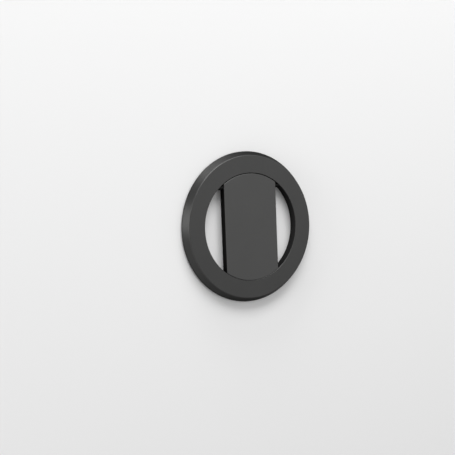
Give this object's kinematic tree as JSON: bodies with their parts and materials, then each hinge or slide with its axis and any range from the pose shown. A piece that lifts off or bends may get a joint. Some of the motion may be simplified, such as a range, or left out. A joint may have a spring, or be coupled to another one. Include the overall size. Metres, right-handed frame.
{
  "type": "magnetic phone mount",
  "caption": "Flat round magnetic phone mount with a tapered metal rim, a soft base pad and a metal stand bar that folds out of its open centre.",
  "frame": {"origin": "centre of the ring on the underside of its soft pad", "axes": "+Z out of the face, away from the phone; +Y along the stand bar towards its hinge; +X to the right with the hinge at the top"},
  "size_m": [0.0586, 0.0586, 0.0037],
  "materials": {
    "dark_alloy": "satin dark grey anodised",
    "yoke_steel": "plain rolled",
    "plated_magnet": "nickel plated",
    "black_plastic": "fine moulded grain",
    "soft_pad": "matt silicone",
    "pin_steel": "ground",
    "black_acetal": "turned"
  },
  "bodies": {
    "ring": {"ring_shell": "dark_alloy", "yoke_ring": "yoke_steel", "magnet_carrier": "black_plastic", "base_pad": "soft_pad", "magnet_01": "plated_magnet", "magnet_02": "plated_magnet", "magnet_03": "plated_magnet", "magnet_04": "plated_magnet", "magnet_05": "plated_magnet", "magnet_06": "plated_magnet", "magnet_07": "plated_magnet", "magnet_08": "plated_magnet", "magnet_09": "plated_magnet", "magnet_10": "plated_magnet", "magnet_11": "plated_magnet", "magnet_12": "plated_magnet", "magnet_13": "plated_magnet", "magnet_14": "plated_magnet", "magnet_15": "plated_magnet", "magnet_16": "plated_magnet", "magnet_17": "plated_magnet", "magnet_18": "plated_magnet", "hinge_pin_left": "pin_steel", "hinge_pin_right": "pin_steel"},
    "stand": {"stand_bar": "dark_alloy", "stand_liner": "soft_pad", "hinge_bush_left": "black_acetal", "hinge_bush_right": "black_acetal"}
  },
  "joints": [
    {"name": "stand_hinge", "type": "hinge", "parent": "ring", "child": "stand", "pos_m": [0, 0.01553, 0.00258], "axis": [-1, 0, 0], "range_deg": [0, 30]}
  ]
}
